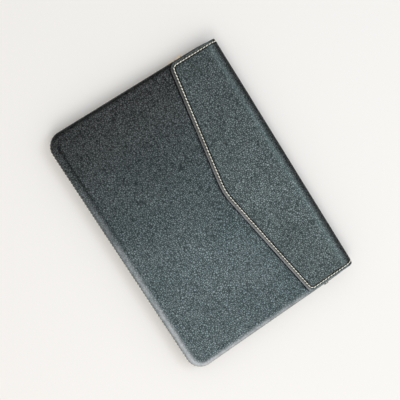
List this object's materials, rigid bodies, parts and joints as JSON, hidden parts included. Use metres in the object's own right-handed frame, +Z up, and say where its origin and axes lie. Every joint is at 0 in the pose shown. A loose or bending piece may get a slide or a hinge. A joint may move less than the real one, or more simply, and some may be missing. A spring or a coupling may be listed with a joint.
{
  "type": "laptop case",
  "caption": "Slim padded leather laptop case, zipped round three sides, with a pointed flap folded over the fourth side onto the front.",
  "frame": {"origin": "centre of the case in plan, on the surface that it lies on", "axes": "+X along the folded edge, +Y from the zipped edge to the folded edge, +Z up through the front"},
  "size_m": [0.3346, 0.238, 0.0232],
  "materials": {
    "leather": "fine pebbled grain, satin, dark teal grey",
    "flap_leather": "fine pebbled grain, satin, dark teal grey, painted cut edge, cream saddle stitching",
    "gusset_leather": "smooth dark teal grey, matt",
    "zip_tape": "olive brown herringbone woven tape",
    "zip_teeth": "antique brass teeth",
    "zip_metal": "worn antique brass"
  },
  "bodies": {
    "case": {"back_shell": "leather", "front_shell": "leather", "flap": "flap_leather", "gusset": "gusset_leather", "zip_tape": "zip_tape", "zip_teeth": "zip_teeth", "zip_end_tab": "zip_tape", "zip_slider": "zip_metal"},
    "puller": {"zip_puller": "zip_metal"}
  },
  "joints": [
    {"name": "puller_hinge", "type": "hinge", "parent": "case", "child": "puller", "pos_m": [-0.16555, 0.07145, 0.0106], "axis": [0, 0, -1], "range_deg": [0, 175]}
  ]
}
